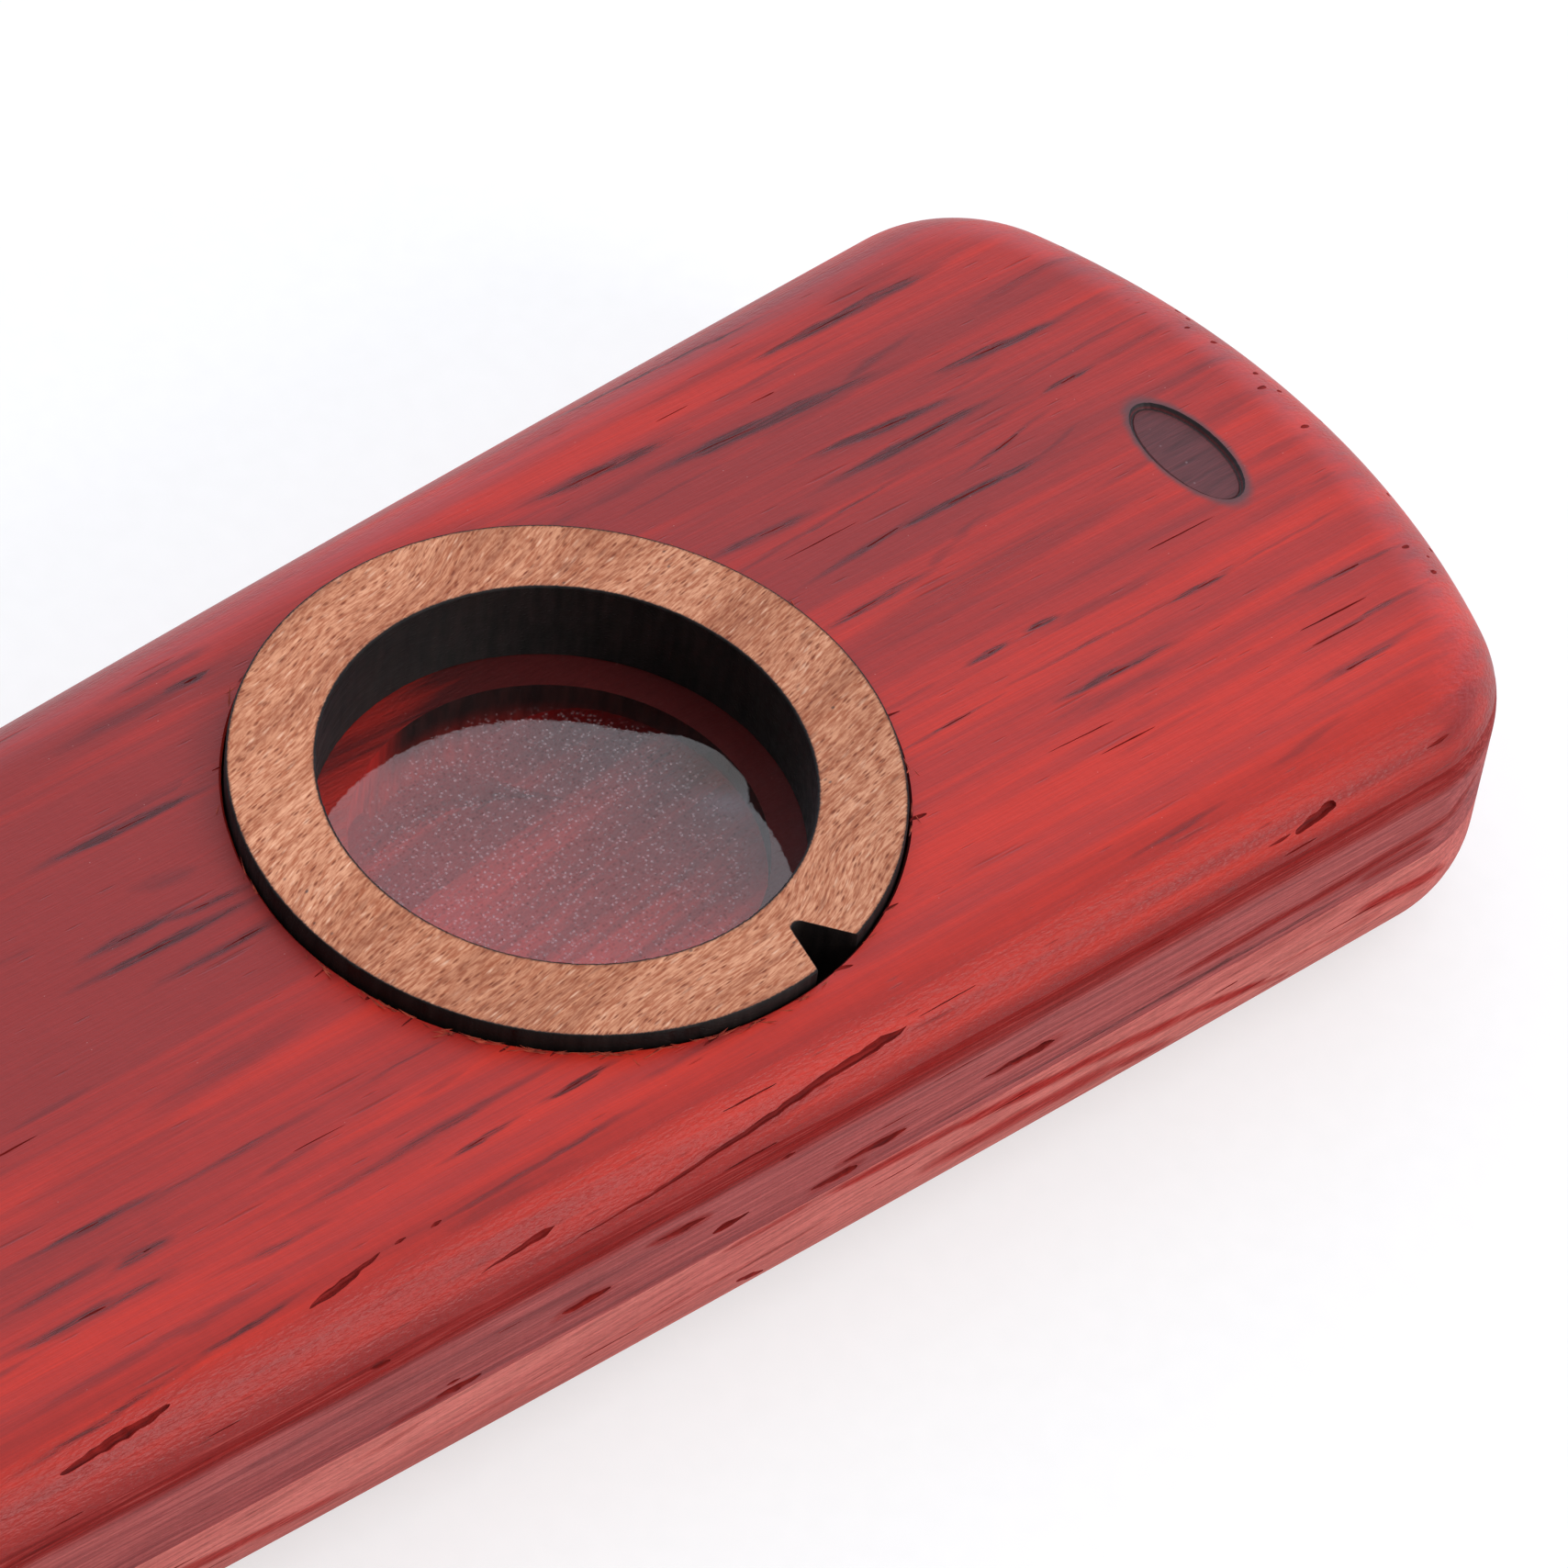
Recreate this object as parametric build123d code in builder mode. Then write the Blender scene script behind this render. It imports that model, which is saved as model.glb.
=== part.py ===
import os
from math import sqrt

from build123d import *

# A flat wooden kazoo: two glued boards, a clear membrane, and the ring that holds it down.
# Millimetres. +X points to the mouth end, +Z up. The underside lies on Z = 0.

# Body plan
body_length = 118.0
mouth_width = 38.8
outlet_width = 30.0
side_bow = 0.6
end_bow_radius = 38.8
corner_radius = 7.6

# Boards
upper_board_thickness = 7.75
lower_board_thickness = 7.0
top_edge_radius = 3.9
bottom_edge_radius = 5.0

# Membrane seat and its ring
ring_to_mouth_end = 42.6
ring_outer_diameter = 28.4
ring_inner_diameter = 21.0
ring_thickness = 4.4
ring_proud_height = 1.0
ring_side_clearance = 0.08
membrane_thickness = 0.1
membrane_edge_clearance = 0.6

# Fingernail notch in the ring
notch_width = 2.7
notch_depth = 2.9
notch_tip_radius = 0.4
notch_angle = -78.0

# Air passage
chamber_diameter = 17.7
passage_height = 6.0
mouth_slot_width = 20.0
outlet_slot_width = 11.0
slot_lip_radius = 0.7
cutter_overrun = 3.0

# Burnt oval mark at the mouth end
oval_length = 6.6
oval_width = 3.1
oval_depth = 0.35
oval_line_width = 0.3
oval_line_depth = 0.55
oval_to_mouth_end = 8.15
oval_side_offset = -0.4

# Worked out from the sizes above
end_x = body_length / 2
ring_x = end_x - ring_to_mouth_end
oval_x = end_x - oval_to_mouth_end
seam_z = lower_board_thickness
top_z = lower_board_thickness + upper_board_thickness
recess_depth = ring_thickness + membrane_thickness - ring_proud_height
recess_radius = ring_outer_diameter / 2 + ring_side_clearance
membrane_radius = recess_radius - membrane_edge_clearance
ledge_z = top_z - recess_depth
ring_z = ledge_z + membrane_thickness
passage_half_height = passage_height / 2

# Where the straight-cut ends of the plan would meet its long sides, before the corners are rounded
mouth_half = mouth_width / 2
outlet_half = outlet_width / 2
mouth_corner_x = end_x - end_bow_radius + sqrt(end_bow_radius**2 - mouth_half**2)
outlet_corner_x = end_bow_radius - end_x - sqrt(end_bow_radius**2 - outlet_half**2)
side_mid_x = (mouth_corner_x + outlet_corner_x) / 2
side_mid_half = (mouth_half + outlet_half) / 2 + side_bow

os.makedirs("parts", exist_ok=True)


# Plan of the body: bowed ends, long sides that taper and swell a little, rounded corners
with BuildSketch() as body_plan:
    with BuildLine():
        ThreePointArc((mouth_corner_x, -mouth_half), (end_x, 0), (mouth_corner_x, mouth_half))
        ThreePointArc((mouth_corner_x, mouth_half), (side_mid_x, side_mid_half), (outlet_corner_x, outlet_half))
        ThreePointArc((outlet_corner_x, outlet_half), (-end_x, 0), (outlet_corner_x, -outlet_half))
        ThreePointArc((outlet_corner_x, -outlet_half), (side_mid_x, -side_mid_half), (mouth_corner_x, -mouth_half))
    make_face()
    fillet(body_plan.vertices(), radius=corner_radius)


# The air passage, half in each board: a flat slot with round sides that narrows from mouth to outlet
passage_taper = (mouth_slot_width - outlet_slot_width) / body_length
passage_reach = end_x + cutter_overrun
overrun_change = passage_taper * cutter_overrun

with BuildPart() as air_passage:
    with BuildSketch(Plane.YZ.offset(passage_reach)):
        with Locations((0, seam_z)):
            SlotOverall(mouth_slot_width + overrun_change, passage_height)
    with BuildSketch(Plane.YZ.offset(-passage_reach)):
        with Locations((0, seam_z)):
            SlotOverall(outlet_slot_width - overrun_change, passage_height)
    loft()


def slot_lips(board):
    """The edges just cut where the passage comes out through a board's bowed ends, off the glue seam."""
    cut_edges = board.edges(Select.LAST)
    end_edges = cut_edges.filter_by(lambda edge: abs(edge.center().X) > mouth_corner_x)
    return end_edges.filter_by(lambda edge: abs(edge.center().Z - seam_z) > slot_lip_radius / 2)


# Lower board: rounded underside, half the passage, and the floor of the chamber
with BuildPart() as lower_board:
    add(body_plan.sketch)
    extrude(amount=lower_board_thickness)
    underside = lower_board.faces().sort_by(Axis.Z)[0]
    fillet(underside.edges(), radius=bottom_edge_radius)
    add(air_passage.part, mode=Mode.SUBTRACT)
    fillet(slot_lips(lower_board), radius=slot_lip_radius)
    with BuildSketch(Plane.XY.offset(seam_z)):
        with Locations((ring_x, 0)):
            Circle(chamber_diameter / 2)
    extrude(amount=-passage_half_height, mode=Mode.SUBTRACT)

lower_board.part.label = "lower_board"
export_step(lower_board.part, "parts/lower_board.step")


# Upper board: rounded top, stepped bore for membrane and ring, half the passage, the oval mark
with BuildPart() as upper_board:
    with BuildSketch(Plane.XY.offset(seam_z)):
        add(body_plan.sketch)
    extrude(amount=upper_board_thickness)
    top_face = upper_board.faces().sort_by(Axis.Z)[-1]
    fillet(top_face.edges(), radius=top_edge_radius)
    add(air_passage.part, mode=Mode.SUBTRACT)
    fillet(slot_lips(upper_board), radius=slot_lip_radius)
    with Locations((ring_x, 0, top_z)):
        CounterBoreHole(
            radius=chamber_diameter / 2,
            counter_bore_radius=recess_radius,
            counter_bore_depth=recess_depth,
        )
    with BuildSketch(Plane.XY.offset(top_z)):
        with Locations((oval_x, oval_side_offset)):
            Ellipse(oval_width / 2, oval_length / 2)
    extrude(amount=-oval_depth, mode=Mode.SUBTRACT)
    with BuildSketch(Plane.XY.offset(top_z)):
        with Locations((oval_x, oval_side_offset)):
            Ellipse(oval_width / 2, oval_length / 2)
            Ellipse(oval_width / 2 - oval_line_width, oval_length / 2 - oval_line_width, mode=Mode.SUBTRACT)
    extrude(amount=-oval_line_depth, mode=Mode.SUBTRACT)

upper_board.part.label = "upper_board"
export_step(upper_board.part, "parts/upper_board.step")


# Membrane: a clear disc lying on the ledge of the stepped bore
with BuildPart() as membrane:
    with BuildSketch(Plane.XY.offset(ledge_z)):
        with Locations((ring_x, 0)):
            Circle(membrane_radius)
    extrude(amount=membrane_thickness)

membrane.part.label = "membrane"
export_step(membrane.part, "parts/membrane.step")


# Membrane ring: pressed in over the membrane, with a notch in its rim for a fingernail
ring_radius = ring_outer_diameter / 2
notch_tip = ring_radius - notch_depth
notch_mouth = ring_radius + notch_depth

with BuildSketch() as notch_plan:
    with BuildLine():
        Polyline((notch_tip, 0), (notch_mouth, notch_width), (notch_mouth, -notch_width), close=True)
    make_face()
    tip_corner = notch_plan.vertices().sort_by(Axis.X)[0]
    fillet(tip_corner, radius=notch_tip_radius)

with BuildPart() as membrane_ring:
    with BuildSketch(Plane.XY.offset(ring_z)):
        with Locations((ring_x, 0)):
            Circle(ring_radius)
            Circle(ring_inner_diameter / 2, mode=Mode.SUBTRACT)
            add(notch_plan.sketch, rotation=notch_angle, mode=Mode.SUBTRACT)
    extrude(amount=ring_thickness)

membrane_ring.part.label = "membrane_ring"
export_step(membrane_ring.part, "parts/membrane_ring.step")
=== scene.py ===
import random
from functools import partialmethod
from math import asin, atan2, cos, exp, hypot, pi, radians, sin, sqrt, tan

import bmesh
import bpy
from mathutils import Euler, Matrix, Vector, noise


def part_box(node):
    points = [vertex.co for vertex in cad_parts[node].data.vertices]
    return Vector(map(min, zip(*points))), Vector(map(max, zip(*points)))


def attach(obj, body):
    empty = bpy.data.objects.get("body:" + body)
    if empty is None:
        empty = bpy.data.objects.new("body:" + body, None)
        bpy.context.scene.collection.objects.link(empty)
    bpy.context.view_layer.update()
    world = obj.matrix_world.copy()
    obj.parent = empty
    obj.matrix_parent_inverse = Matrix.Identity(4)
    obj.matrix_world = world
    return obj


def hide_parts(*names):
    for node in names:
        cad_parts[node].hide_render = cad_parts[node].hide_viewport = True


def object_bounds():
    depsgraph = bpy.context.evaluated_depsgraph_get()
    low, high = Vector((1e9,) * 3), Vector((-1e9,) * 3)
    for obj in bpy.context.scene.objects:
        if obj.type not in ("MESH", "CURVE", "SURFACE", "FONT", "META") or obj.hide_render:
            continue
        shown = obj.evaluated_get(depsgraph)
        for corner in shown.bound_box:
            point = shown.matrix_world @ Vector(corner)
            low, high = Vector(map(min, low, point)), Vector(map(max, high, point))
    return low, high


# A flat wooden kazoo, dressed over its CAD frame. Metres, in the frame's own axes.
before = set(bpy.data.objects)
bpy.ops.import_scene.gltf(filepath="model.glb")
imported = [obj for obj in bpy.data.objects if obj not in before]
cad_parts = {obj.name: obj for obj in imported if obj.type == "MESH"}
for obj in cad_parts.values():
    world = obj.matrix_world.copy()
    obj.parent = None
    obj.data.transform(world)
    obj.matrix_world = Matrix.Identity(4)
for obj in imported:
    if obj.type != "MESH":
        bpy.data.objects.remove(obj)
cad_low, cad_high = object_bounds()
mm = 0.001
chance = random.Random(7)
between = chance.uniform

# Places read from the frame
upper_low, upper_high = [Vector(corner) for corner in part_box("upper_board")]
ring_low, ring_high = [Vector(corner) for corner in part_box("membrane_ring")]
film_low, film_high = [Vector(corner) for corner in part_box("membrane")]
end_x = upper_high.x
top_z = upper_high.z
seam_z = upper_low.z
floor_z = cad_low[2]
ring_x = (film_low.x + film_high.x) / 2
film_radius = (film_high.x - film_low.x) / 2
ledge_z = film_low.z
ring_bottom = ring_low.z
ring_top = ring_high.z
ring_radius = (ring_high.x - ring_low.x) / 2

# Body plan and edges, as the frame's boards have them
mouth_half = 19.4 * mm
outlet_half = 15.0 * mm
side_bow = 0.6 * mm
end_bow_radius = 38.8 * mm
corner_radius = 7.6 * mm
top_edge_radius = 3.9 * mm
bottom_edge_radius = 5.0 * mm
seam_chamfer = 0.03 * mm
flat_support = 0.35 * mm
long_facets = [44, 76, 36, 76]
corner_facets = 22
edge_facets = 20
side_wood_z = 12.0 * mm

# Bores
recess_radius = ring_radius + 0.08 * mm
recess_chamfer = 0.1 * mm
recess_chamfer_height = 0.12 * mm
chamber_radius = 8.85 * mm
chamber_floor_lift = 0.03 * mm
passage_half_height = 3.0 * mm
mouth_slot_half = 10.0 * mm
outlet_slot_half = 5.5 * mm
slot_lip_radius = 0.7 * mm
overrun = 3.0 * mm
bore_facets = 256

# Ring
ring_inner_radius = 10.42 * mm
hole_shift_x = 0.05 * mm
hole_shift_y = 0.12 * mm
notch_half_angle = radians(25)
notch_apex_depth = 2.9 * mm
notch_tip_radius = 0.4 * mm
notch_angle = radians(-78.0)
ring_edge = 0.05 * mm
rim_waver = 0.012 * mm
hole_waver = 0.016 * mm
wall_waver = 0.01 * mm
ring_lean = 0.45 * mm
ring_lean_angle = radians(-32)

# Oval mark
oval_x = end_x - 8.15 * mm
oval_y = -0.4 * mm
oval_half_x = 1.55 * mm
oval_half_y = 3.3 * mm
oval_depth = 0.22 * mm
oval_line_width = 0.22 * mm
oval_line_depth = 0.27 * mm
oval_facets = 160


# Plan of the body: four long arcs joined by four corner arcs
def circle_through(first, second, third):
    """Centre and radius of the circle through three plan points."""
    spread = 0.0
    x = 0.0
    y = 0.0
    for one, two, other in ((first, second, third), (second, third, first), (third, first, second)):
        spread += 2 * one.x * (two.y - other.y)
        x += one.length_squared * (two.y - other.y)
        y += one.length_squared * (other.x - two.x)
    centre = Vector((x / spread, y / spread))
    return centre, (centre - first).length


def touching_centre(first, second, near):
    """Centre of the corner arc that touches two longer arcs from inside."""
    first_centre, first_radius = first
    second_centre, second_radius = second
    apart = second_centre - first_centre
    distance = apart.length
    reach = first_radius - corner_radius
    along = (distance**2 + reach**2 - (second_radius - corner_radius) ** 2) / (2 * distance)
    aside = sqrt(reach**2 - along**2)
    unit = apart / distance
    normal = Vector((-unit.y, unit.x))
    choices = [first_centre + unit * along + normal * aside * side for side in (1, -1)]
    return min(choices, key=lambda point: (point - near).length)


def bearing(origin, point):
    """Angle of a plan point seen from another."""
    return atan2(point.y - origin.y, point.x - origin.x)


mouth_corner_x = end_x - end_bow_radius + sqrt(end_bow_radius**2 - mouth_half**2)
outlet_corner_x = end_bow_radius - end_x - sqrt(end_bow_radius**2 - outlet_half**2)
side_mid = Vector(((mouth_corner_x + outlet_corner_x) / 2, (mouth_half + outlet_half) / 2 + side_bow))
plan_corners = [
    Vector((mouth_corner_x, mouth_half)),
    Vector((outlet_corner_x, outlet_half)),
    Vector((outlet_corner_x, -outlet_half)),
    Vector((mouth_corner_x, -mouth_half)),
]
far_circle = circle_through(plan_corners[0], side_mid, plan_corners[1])
near_circle = (Vector((far_circle[0].x, -far_circle[0].y)), far_circle[1])
mouth_circle = (Vector((end_x - end_bow_radius, 0)), end_bow_radius)
outlet_circle = (Vector((end_bow_radius - end_x, 0)), end_bow_radius)
long_arcs = [mouth_circle, far_circle, outlet_circle, near_circle]


def body_plan():
    """Plan points with their outward directions, counter-clockwise."""
    following = long_arcs[1:] + long_arcs[:1]
    corners = [touching_centre(*pair) for pair in zip(long_arcs, following, plan_corners)]
    points = []
    for index, (centre, radius) in enumerate(long_arcs):
        corner = corners[index]
        turn = bearing(centre, corner)
        sweeps = [
            (centre, radius, bearing(centre, corners[index - 1]), turn, long_facets[index]),
            (corner, corner_radius, turn, bearing(following[index][0], corner), corner_facets),
        ]
        for middle, size, start, stop, facets in sweeps:
            if stop < start:
                stop += 2 * pi
            for step in range(facets):
                angle = start + (stop - start) * step / facets
                outward = Vector((cos(angle), sin(angle)))
                points.append((middle + outward * size, outward))
    return points


plan = body_plan()


def half_width(x):
    """Half the body's width at a place along it, on its long sides."""
    centre, radius = far_circle
    return centre.y + sqrt(radius**2 - (x - centre.x) ** 2)


def edge_shape(z):
    """How far a rounded edge draws in at a height, and how its face leans there."""
    above = z - (top_z - top_edge_radius)
    below = bottom_edge_radius - (z - floor_z)
    for past, radius, side in ((above, top_edge_radius, 1), (below, bottom_edge_radius, -1)):
        if past > 0:
            lean = asin(min(past / radius, 1))
            return radius * (1 - cos(lean)), side * lean
    return 0.0, 0.0


def side_place(x, z, side):
    """Point and outward direction on a long side of the body, at a height."""
    inset, lean = edge_shape(z)
    return Vector((x, side * (half_width(x) - inset), z)), Vector((0, side * cos(lean), sin(lean)))


def bow_x(y, z, side):
    """Place of the bowed end's surface along X."""
    centre, radius = mouth_circle
    return side * (centre.x + sqrt(radius**2 - y**2) - edge_shape(z)[0])


def round_ring(angle, radius, z):
    """Point at an angle about the ring's axis."""
    return Vector((ring_x + cos(angle) * radius, sin(angle) * radius, z))


def circle(steps):
    """Directions once round, as (cosine, sine)."""
    angles = [2 * pi * step / steps for step in range(steps)]
    return [(cos(angle), sin(angle)) for angle in angles]


# Mesh helpers
def add_stack(mesh, loops):
    """Adds a closed solid through loops of points, capped at either end."""
    rows = [[mesh.verts.new(point) for point in loop] for loop in loops]
    for below, above in zip(rows, rows[1:]):
        for index in range(len(below)):
            following = (index + 1) % len(below)
            mesh.faces.new((below[index], below[following], above[following], above[index]))
    mesh.faces.new(list(reversed(rows[0])))
    mesh.faces.new(rows[-1])


def to_object(mesh, name, *materials):
    """Makes a scene object of a finished bmesh."""
    bmesh.ops.recalc_face_normals(mesh, faces=mesh.faces)
    data = bpy.data.meshes.new(name)
    mesh.to_mesh(data)
    mesh.free()
    for material in materials:
        data.materials.append(material)
    return to_scene(name, data)


def to_scene(name, data):
    """Puts a mesh, lamp or camera into the scene."""
    made = bpy.data.objects.new(name, data)
    bpy.context.scene.collection.objects.link(made)
    return made


def stack_object(name, loops, *materials):
    """One closed solid through loops of points, as an object."""
    mesh = bmesh.new()
    add_stack(mesh, loops)
    return to_object(mesh, name, *materials)


def carve(piece, cutter):
    """Cuts one object out of another; the cut faces keep the cutter's material."""
    change = piece.modifiers.new("carve", "BOOLEAN")
    change.operation = "DIFFERENCE"
    change.solver = "EXACT"
    change.material_mode = "TRANSFER"
    change.object = cutter
    settled = piece.evaluated_get(bpy.context.evaluated_depsgraph_get())
    carved = bpy.data.meshes.new_from_object(settled)
    piece.modifiers.clear()
    piece.data = carved
    bpy.data.objects.remove(cutter)


def smooth(piece, sharp_angle):
    """Smooth shading, kept crisp at edges sharper than the angle."""
    piece.data.shade_smooth()
    piece.data.set_sharp_from_angle(angle=radians(sharp_angle))
    return piece


def ruffle(point, seed, spread=1.0):
    """A small repeatable irregularity from -1 to 1 at a place."""
    return noise.noise(Vector(point) / spread + Vector((seed, seed * 1.7, seed * 0.3)))


# Material helpers
class Nodes:
    """Builds a node tree with short calls."""

    def __init__(self, tree, space="Object"):
        self.tree = tree
        self.surface = self.add("ShaderNodeTexCoord").outputs[space]
        self.along, self.across, self.height = self.split(self.surface)

    def feed(self, socket, value):
        if isinstance(value, bpy.types.NodeSocket):
            self.tree.links.new(value, socket)
        else:
            socket.default_value = value

    def add(self, kind, inputs=(), **settings):
        """A new node with its settings, and with values or links in its inputs."""
        made = self.tree.nodes.new(kind)
        for key, value in settings.items():
            setattr(made, key, value)
        for key, value in dict(inputs).items():
            self.feed(made.inputs[key], value)
        return made

    def maths(self, operation, first, second, third=0.0, clamp=False):
        inputs = {0: first, 1: second, 2: third}
        return self.add("ShaderNodeMath", inputs, operation=operation, use_clamp=clamp).outputs[0]

    times = partialmethod(maths, "MULTIPLY")
    plus = partialmethod(maths, "ADD")
    less = partialmethod(maths, "SUBTRACT")
    larger = partialmethod(maths, "MAXIMUM")

    def vectors(self, operation, inputs, output=0):
        return self.add("ShaderNodeVectorMath", inputs, operation=operation).outputs[output]

    def blend(self, amount, first, second, kind="MIX"):
        inputs = {"Factor": amount, 6: first, 7: second}
        return self.add("ShaderNodeMix", inputs, data_type="RGBA", blend_type=kind).outputs[2]

    def paint(self, colour, mask, amount, over):
        """Lays a plain colour over another by that much of a mask."""
        return self.blend(self.times(mask, amount), colour, (*over, 1.0))

    def place(self, vector, scale, shift=(0, 0, 0), turn=(0, 0, 0)):
        turn = [radians(angle) for angle in turn]
        inputs = {"Vector": vector, "Location": shift, "Rotation": turn, "Scale": scale}
        return self.add("ShaderNodeMapping", inputs).outputs[0]

    def spread(self, *scale):
        """The surface's own coordinates, scaled."""
        return self.place(self.surface, scale * 3 if len(scale) == 1 else scale)

    def noise(self, vector, detail=2.0, roughness=0.5):
        inputs = {"Vector": vector, "Scale": 1.0, "Detail": detail, "Roughness": roughness}
        return self.add("ShaderNodeTexNoise", inputs).outputs

    def clouds(self, vector, detail=2.0, roughness=0.5):
        return self.noise(vector, detail, roughness)["Fac"]

    def cells(self, vector):
        return self.add("ShaderNodeTexVoronoi", {"Vector": vector, "Scale": 1.0}).outputs

    def fade(self, value, start, stop, low=0.0, high=1.0):
        """Runs smoothly from low at the start to high at the stop."""
        if start > stop:
            start, stop, low, high = stop, start, high, low
        inputs = {"Value": value, "From Min": start, "From Max": stop, "To Min": low, "To Max": high}
        return self.add("ShaderNodeMapRange", inputs, interpolation_type="SMOOTHSTEP").outputs["Result"]

    def ramp(self, value, *stops):
        made = self.add("ShaderNodeValToRGB", {"Fac": value})
        elements = made.color_ramp.elements
        while len(elements) < len(stops):
            elements.new(0.5)
        for element, (position, colour) in zip(elements, stops):
            element.position = position
            element.color = (*colour, 1.0)
        return made.outputs["Color"]

    def split(self, vector):
        return self.add("ShaderNodeSeparateXYZ", {0: vector}).outputs

    def bump(self, height, strength, distance, **under):
        inputs = {"Strength": strength, "Distance": distance, "Height": height, **under}
        return self.add("ShaderNodeBump", inputs).outputs["Normal"]

    def towards(self, angle):
        """Distance from the ring's axis along a plan direction."""
        aside = self.times(self.across, sin(angle))
        return self.maths("MULTIPLY_ADD", self.less(self.along, ring_x), cos(angle), aside)

    def away(self, x, y):
        """Plan distance from a place."""
        beside = self.less(self.along, x)
        before = self.less(self.across, y)
        square = self.maths("MULTIPLY_ADD", beside, beside, self.times(before, before))
        return self.maths("POWER", square, 0.5)

    def speckle(self, vector, radius, share):
        """Spots of that radius in that share of the cells of a scaled space."""
        cells = self.cells(vector)
        spot = self.fade(cells["Distance"], radius, radius * 0.25)
        chosen = self.fade(self.split(cells["Color"])[0], 1 - share - 0.02, 1 - share + 0.02)
        return self.times(spot, chosen)

    def streak_field(self, vector, streaks, on_top):
        """Mask of listed drawn-out spots: feathered ones on the top, blunter ones on a side."""
        along, across, height = self.split(vector)
        second = across if on_top else height
        field = 0.0
        for x, beside, length, thickness, strength, *tilt in streaks:
            lean = radians(sum(tilt))
            squares = []
            axes = [(cos(lean), sin(lean), length / 2), (-sin(lean), cos(lean), thickness / 2)]
            for part, other, half in axes:
                far = self.maths("MULTIPLY_ADD", second, other / half, -(x * part + beside * other) / half)
                far = self.maths("MULTIPLY_ADD", along, part / half, far)
                squares.append(self.times(far, far))
            if on_top:
                spot = self.fade(self.plus(*squares), 1.8, 0.0, 0.0, strength)
            else:
                reach = self.maths("MULTIPLY_ADD", squares[0], squares[0], squares[1])
                spot = self.fade(reach, 1.3, 0.1, 0.0, strength)
            field = self.larger(spot, field)
        return field


class Surface(Nodes):
    """The nodes of a new material with its main shader."""

    def __init__(self, name):
        self.material = bpy.data.materials.new(name)
        self.material.use_nodes = True
        super().__init__(self.material.node_tree)
        self.shader = self.tree.nodes["Principled BSDF"]

    def finish(self, colour, roughness, specular, **others):
        """Fills in the shader and gives the material."""
        inputs = {"Base Color": colour, "Roughness": roughness, "Specular IOR Level": specular, **others}
        for key, value in inputs.items():
            self.feed(self.shader.inputs[key], value)
        return self.material


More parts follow.
